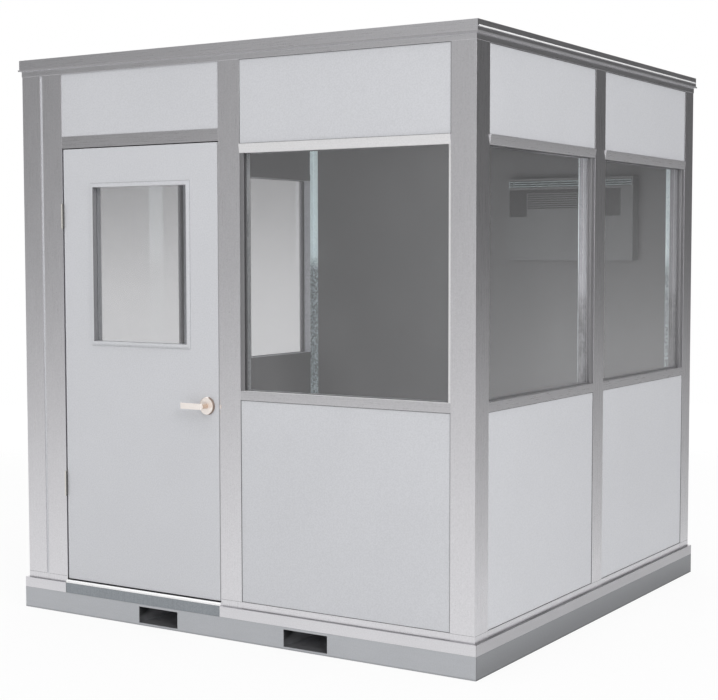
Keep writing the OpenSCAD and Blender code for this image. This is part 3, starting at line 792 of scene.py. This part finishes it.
class OFFICE_OT_door(Operator):
    """Finish the door leaf, its moulding and its hinges"""

    bl_idname = "office.door"
    bl_label = "Door"

    def execute(self, context):
        finish = context.scene.office_finishes
        skin = grained_sheet("door_paint", finish.door, 0.42, 0.0022, 0.0002)
        rounded("door_leaf", skin, finish.edge)
        self.dress_moulding(finish, skin)
        steel = brushed_metal("hinge_steel", srgb(226, 223, 217), 0.35, EVEN_GRAIN, metallic=0.5)
        shade = brushed_metal("hinge_shade", srgb(92, 91, 90), 0.45, EVEN_GRAIN, metallic=0.2)
        sideways = looking(RIGHT, least=0.6)
        for node in ("frame_hinges", "door_hinges"):
            refinish(rounded(node, steel, finish.edge / 4), shade, sideways)
        return {"FINISHED"}

    def dress_moulding(self, finish, skin):
        (left, _, low), (right, _, high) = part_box("door_lite_frame")
        middle = (left + right) / 2
        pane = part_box("door_glass")[0][1]

        def at_left(face):
            return face.center.x < middle and face.center.y < pane

        # Painted shade: the moulding's faces at the left of the lite that look right get a deep grey
        shaded_bevel = rubber("lite_bevel_painted_shade", srgb(133, 133, 136))
        moulding = rounded("door_lite_frame", skin, finish.edge)
        refinish(moulding, shaded_bevel, looking(RIGHT, SLIGHTLY), at_left)
        leaf = -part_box("door_leaf")[0][1]
        bead = finish.seal * 0.7
        fine = bead * 0.4
        proud = (leaf, leaf + fine)
        # Painted shadow: thin deep-grey strips round the moulding, wider over its top, stand in for
        # the shadow line at its edge
        bm = bmesh.new()
        for level in ((low - fine, low), (high, high + bead)):
            strip(bm, 0, (left - fine, right + fine), level, proud)
        for span in ((left - fine, left), (right, right + fine)):
            strip(bm, 0, span, (low, high), proud)
        seal = rubber("lite_shadow_line", (0.2, 0.2, 0.21))
        add_piece("door_lite_shadow_line", bm, "door", seal)


class OFFICE_OT_lever_set(Operator):
    """Finish the levers, roses and strike"""

    bl_idname = "office.lever_set"
    bl_label = "Lever set"

    def execute(self, context):
        finish = context.scene.office_finishes
        polished = brushed_metal("lever_nickel", finish.nickel, 0.2, EVEN_GRAIN, metallic=0.4)
        # Painted shade and reflection: the neck gets a tan copy of the nickel, and the rose's round
        # side that looks right a deeper one
        shaded_neck = brushed_metal("neck_nickel_painted_shade", srgb(204, 180, 162), 0.3, EVEN_GRAIN, metallic=0.4)
        shaded_rim = brushed_metal("rim_nickel_painted_shade", srgb(138, 122, 112), 0.4, EVEN_GRAIN, metallic=0.3)
        nickel = brushed_metal("lock_nickel", deeper(finish.nickel, 0.85), 0.18, EVEN_GRAIN)
        (_, outer, _), (_, inner, _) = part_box("lever_handles")
        arm = 0.02

        def on_neck(face):
            return outer + arm < face.center.y < inner - arm

        def round_side(face):
            return abs(face.normal.y) < SQUARELY

        refinish(rounded("lever_handles", polished, finish.edge), shaded_neck, on_neck)
        rose = rounded("door_roses", polished, finish.edge / 2)
        refinish(rose, shaded_rim, looking(RIGHT, SLIGHTLY), round_side)
        rounded("strike_plate", nickel, finish.edge / 4)
        return {"FINISHED"}


class OFFICE_OT_base(Operator):
    """Finish the steel base, floor, trim and threshold"""

    bl_idname = "office.base"
    bl_label = "Base"

    def execute(self, context):
        finish = context.scene.office_finishes
        self.dress_steel(finish)
        self.dress_trim(finish)
        rounded("door_step", galvanised("step_steel", finish.step, 0.4, spangle=220.0), finish.edge)
        paint("floor_deck", grained_sheet("floor_sheet", srgb(184, 184, 182), 0.6, 0.004, 0.0003))
        return {"FINISHED"}

    def dress_steel(self, finish):
        steel = brushed_metal("base_paint", finish.base, 0.48, ROLLED_GRAIN, metallic=0.6)
        for node in ("base_front_rail", "base_rear_rail"):
            rounded(node, steel, finish.edge)
        # Painted shade: the side rails get a deeper copy of the base steel, deeper still towards the
        # ground
        side = brushed_metal(
            "base_side_shaded_paint", deeper(finish.base, 0.54), 0.5, ROLLED_GRAIN,
            metallic=0.2, foot_shade=0.35,
        )
        rounded("base_side_rails", side, finish.edge)
        paint("base_joists", steel)
        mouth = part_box("fork_tubes")[1][1]
        paint("fork_tubes", pocket_steel("tube_steel", srgb(214, 215, 220), mouth))

    def dress_trim(self, finish):
        metal = finish.aluminium
        trim = brushed_metal("trim_aluminium", metal, 0.34, LEVEL_GRAIN)
        # Painted shade: the trim's faces that look left or right get a deeper copy of the aluminium
        shaded_copy = brushed_metal("side_trim_shaded_aluminium", deeper(metal, 0.78), 0.4, LEVEL_GRAIN)
        edge = rounded("edge_trim", trim, finish.edge)
        refinish(edge, shaded_copy, lambda face: abs(face.normal.x) > SQUARELY)
        # Painted highlight and shadow: the threshold is near white for the highlight on its front,
        # its top faces near black for the shadow on them
        lit_nosing = brushed_metal(
            "nosing_painted_highlight", (0.95, 0.95, 0.955), 0.3, LEVEL_GRAIN, metallic=0.3
        )
        shadow = rubber("threshold_painted_shadow", (0.03, 0.03, 0.032))
        refinish(rounded("threshold", lit_nosing, finish.edge), shadow, looking(UP, least=0.95))


class OFFICE_OT_roof(Operator):
    """Finish the roof panel and its edge"""

    bl_idname = "office.roof"
    bl_label = "Roof"

    def execute(self, context):
        finish = context.scene.office_finishes
        metal = finish.aluminium
        edge = brushed_metal("fascia_aluminium", metal, 0.3, LEVEL_GRAIN)
        # Painted highlight and shade: the fascia's faces that slope up get a near-white strip for
        # the bright line along it, those that slope down a deeper copy of the aluminium
        painted_highlight = brushed_metal("fascia_painted_highlight", (0.95, 0.95, 0.96), 0.3, LEVEL_GRAIN, metallic=0.1)
        shaded_hem = brushed_metal("hem_shaded_aluminium", deeper(metal, 0.6), 0.4, LEVEL_GRAIN)

        def slopes_up(face):
            return PARTLY < face.normal.z < SQUARELY

        def slopes_down(face):
            return abs(face.normal.y) > PARTLY and BARELY < -face.normal.z < SQUARELY

        fascia = rounded("roof_fascia", edge, finish.edge / 4)
        refinish(fascia, painted_highlight, slopes_up)
        refinish(fascia, shaded_hem, slopes_down)
        paint("roof_panel", grained_sheet("roof_sheet", srgb(184, 185, 187), 0.8, 0.003, 0.0003))
        return {"FINISHED"}


class OFFICE_OT_air_conditioner(Operator):
    """Finish the air conditioner"""

    bl_idname = "office.air_conditioner"
    bl_label = "Air conditioner"

    def execute(self, context):
        finish = context.scene.office_finishes
        casing = grained_sheet("ac_casing", finish.casing, 0.45, 0.0015, 0.0002)
        # Painted shade and highlight: sunk front faces are near black for the shade in the recess,
        # and the outlet's foremost faces near white for the bright lines along it
        painted_shade = grained_sheet("ac_recess_painted_shade", (0.034, 0.034, 0.035), 0.5, 0.0015, 0.0002)
        outlet = grained_sheet("ac_outlet", srgb(72, 83, 86), 0.5, 0.0015, 0.0001)
        lit_vane = grained_sheet("ac_vane_painted_highlight", srgb(232, 252, 255), 0.4, 0.0015, 0.0001)
        (_, near, _), (_, _, head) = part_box("ac_cover")
        vane_depth, recess_start, recess_end = 0.002, 0.004, 0.02
        outlet_top, outlet_foot = 0.012, 0.048

        def sunk(face):
            return recess_start < face.center.y - near < recess_end

        def in_outlet(face):
            return outlet_top < head - face.center.z < outlet_foot

        def foremost(face):
            return face.center.y - near < vane_depth

        cover = rounded("ac_cover", casing, finish.edge)
        refinish(cover, painted_shade, looking(FRONT, SQUARELY), sunk)
        refinish(cover, outlet, in_outlet)
        refinish(cover, lit_vane, in_outlet, foremost)
        rounded("ac_cabinet", casing, finish.edge)
        return {"FINISHED"}


# Studio

# Ways on the level: to the screen behind the office, along that screen, past the right wall, and
# over the floor at the right
TO_SCREEN = (-0.75, 0.66, 0.0)
ALONG_SCREEN = (-0.717, -0.697, 0.0)
PAST_RIGHT = (0.85, 0.53, 0.0)
FLOOR_SIDE = (0.946, 0.324, 0.0)
WHITE = (1.0, 1.0, 1.0, 1.0)
SCREEN_LEVEL = 1.05
SCREEN_SHADE = 0.45


def mixed(share, first, second):
    """Two brightnesses mixed by a share."""
    return (1.0 - share) * first + share * second


def studio_world(studio):
    """A bright ceiling over a dim room, so that metal shows a clear tone at the level of the eye.

    The eye sees white. What it sees through glass behind the office is a screen with a faint shade.
    """
    world = bpy.data.worlds.new("studio")
    bpy.context.scene.world = world
    world.use_nodes = True
    tree = world.node_tree
    tree.nodes.clear()
    output = tree.nodes.new("ShaderNodeOutputWorld")
    flow = Flow(tree)
    direction = flow.add("ShaderNodeTexCoord", output=0)
    rise = flow.add("ShaderNodeSeparateXYZ", None, {0: direction}, output=2)
    screen = direction.along(TO_SCREEN)

    band = direction.along(FRONT).ramp(0.5, 1.0, studio.far_band, studio.near_band)
    level = mixed(rise.ramp(0.42, 0.9), band, studio.overhead)
    ground = direction.along(PAST_RIGHT).ramp(0.2, 0.8, 0.88, 0.55)
    level = mixed(rise.ramp(-0.12, -0.01, 1.0, 0.0), level, ground)
    patch = screen.ramp(0.62, 0.8) * rise.ramp(0.55, 0.8, 1.0, 0.0)
    level = mixed(patch, level, SCREEN_LEVEL)

    across = direction.along(ALONG_SCREEN)
    column = across.ramp(-0.33, -0.2) * across.ramp(-0.016, 0.0, 1.0, 0.0) * screen.ramp(0.6, 0.8)
    shade = column * rise.ramp(-0.04, 0.08) * rise.ramp(0.085, 0.115, 1.0, 0.0)
    level = level * (1.0 - SCREEN_SHADE * shade)

    eye = flow.add("ShaderNodeLightPath", output=0)
    glazed = eye.other("Transparent Depth").clamp()
    level = mixed(eye * (1.0 - glazed * screen.ramp(0.72, 0.85)), level, 1.0)
    background = flow.add("ShaderNodeBackground", None, {"Color": WHITE, "Strength": level})
    flow.plug(output.inputs["Surface"], background)


def seen_white(flow, side):
    """One for rays of the eye and of glass, less for mirrors at a side, zero for diffuse light."""
    eye = flow.add("ShaderNodeLightPath", output=0)
    mirror = eye.other("Is Glossy Ray") * side.ramp(0.6, 1.1, 1.0, 0.3)
    return (eye + mirror + eye.other("Is Transmission Ray")).clamp()


def studio_floor(radius=10.0):
    """A wide pale floor that looks white and keeps a faint shadow."""
    material, flow, surface = new_material("studio_floor")
    place = object_place(flow)
    reach = flow.add("ShaderNodeVectorMath", {"operation": "LENGTH"}, {0: place}, output=1)
    side = place.along(FLOOR_SIDE)
    matt = flow.add("ShaderNodeBsdfDiffuse", None, {"Color": (0.7, 0.7, 0.7, 1.0)})
    white = flow.add("ShaderNodeEmission", None, {"Color": WHITE, "Strength": 1.0})
    clear = flow.add("ShaderNodeBsdfTransparent")
    whiteness = seen_white(flow, side) * 0.9
    lit = flow.add("ShaderNodeMixShader", None, {0: whiteness, 1: matt, 2: white})
    fade = (reach.ramp(4.5, radius) + side.ramp(1.75, 2.9, 0.0, 0.7)).clamp()
    flow.plug(surface, flow.add("ShaderNodeMixShader", None, {0: fade, 1: lit, 2: clear}))
    bm = bmesh.new()
    bmesh.ops.create_circle(bm, cap_ends=True, radius=radius, segments=64)
    mesh = bpy.data.meshes.new("studio_floor")
    bm.to_mesh(mesh)
    bm.free()
    mesh.materials.append(material)
    floor = bpy.data.objects.new("studio_floor", mesh)
    bpy.context.scene.collection.objects.link(floor)


def add_lamp(name, shape, power, place):
    """An area lamp, its object and its data, placed by a matrix."""
    data = bpy.data.lights.new(name, "AREA")
    data.shape = shape
    data.energy = power
    lamp = bpy.data.objects.new(name, data)
    bpy.context.scene.collection.objects.link(lamp)
    lamp.matrix_world = place
    return lamp, data


def studio_lamp(studio):
    """One broad lamp over the camera's shoulder that lights both walls evenly."""
    place = Vector(studio.lamp)
    target = Vector((0.0, 0.0, 1.2))
    turn = (target - place).to_track_quat("-Z", "Y").to_matrix().to_4x4()
    _, data = add_lamp("softbox", "SQUARE", studio.lamp_power, Matrix.Translation(place) @ turn)
    data.size = studio.lamp_size


def room_lamp(studio):
    """A weak lamp behind the front wall, for the light that the windows let into the room."""
    upright = Matrix.Rotation(math.radians(90), 4, "X")
    turn = Matrix.Rotation(studio.room_turn, 4, "Z") @ upright
    place = Matrix.Translation(Vector(studio.room_lamp)) @ turn
    lamp, data = add_lamp("room_glow", "RECTANGLE", studio.room_power, place)
    data.size = 1.3
    data.size_y = 1.5
    lamp.visible_camera = False
    lamp.visible_glossy = False


def studio_camera(studio):
    """A camera at the angle of the picture."""
    data = bpy.data.cameras.new("camera")
    data.lens = studio.lens
    data.sensor_width = 36.0
    data.clip_end = 200.0
    camera = bpy.data.objects.new("camera", data)
    bpy.context.scene.collection.objects.link(camera)
    camera.matrix_world = (
        Matrix.Translation(Vector(studio.eye))
        @ Matrix.Rotation(studio.yaw, 4, "Z")
        @ Matrix.Rotation(studio.pitch, 4, "X")
        @ Matrix.Rotation(studio.roll, 4, "Y")
        @ Matrix.Rotation(math.radians(90), 4, "X")
    )
    bpy.context.scene.camera = camera


class OFFICE_OT_stage(Operator):
    """Set the floor, backdrop, light and camera"""

    bl_idname = "office.stage"
    bl_label = "Stage"

    def execute(self, context):
        studio = context.scene.office_studio
        studio_camera(studio)
        studio_world(studio)
        studio_floor()
        studio_lamp(studio)
        room_lamp(studio)
        context.scene.view_settings.view_transform = "Standard"
        return {"FINISHED"}


# Add-on

PIECES = (
    OFFICE_OT_stage, OFFICE_OT_frame, OFFICE_OT_panels, OFFICE_OT_seals, OFFICE_OT_windows,
    OFFICE_OT_door, OFFICE_OT_lever_set, OFFICE_OT_base, OFFICE_OT_roof,
    OFFICE_OT_air_conditioner,
)


class OFFICE_PT_looks(Panel):
    """Lists the pieces and the finishes"""

    bl_idname = "OFFICE_PT_looks"
    bl_label = "Modular Office"
    bl_space_type = "VIEW_3D"
    bl_region_type = "UI"
    bl_category = "Office"

    def draw(self, context):
        for operator in PIECES:
            self.layout.operator(operator.bl_idname)
        for group in (context.scene.office_finishes, context.scene.office_studio):
            for name in group.__annotations__:
                self.layout.prop(group, name)


CLASSES = (OfficeFinishes, OfficeStudio, *PIECES, OFFICE_PT_looks)


def register():
    for entry in CLASSES:
        bpy.utils.register_class(entry)
    bpy.types.Scene.office_finishes = PointerProperty(type=OfficeFinishes)
    bpy.types.Scene.office_studio = PointerProperty(type=OfficeStudio)


def unregister():
    del bpy.types.Scene.office_studio
    del bpy.types.Scene.office_finishes
    for entry in reversed(CLASSES):
        bpy.utils.unregister_class(entry)


def main():
    register()
    bpy.ops.office.stage()
    bpy.ops.office.frame()
    bpy.ops.office.panels()
    bpy.ops.office.seals()
    bpy.ops.office.windows()
    bpy.ops.office.door()
    bpy.ops.office.lever_set()
    bpy.ops.office.base()
    bpy.ops.office.roof()
    bpy.ops.office.air_conditioner()


if __name__ == "__main__":
    main()
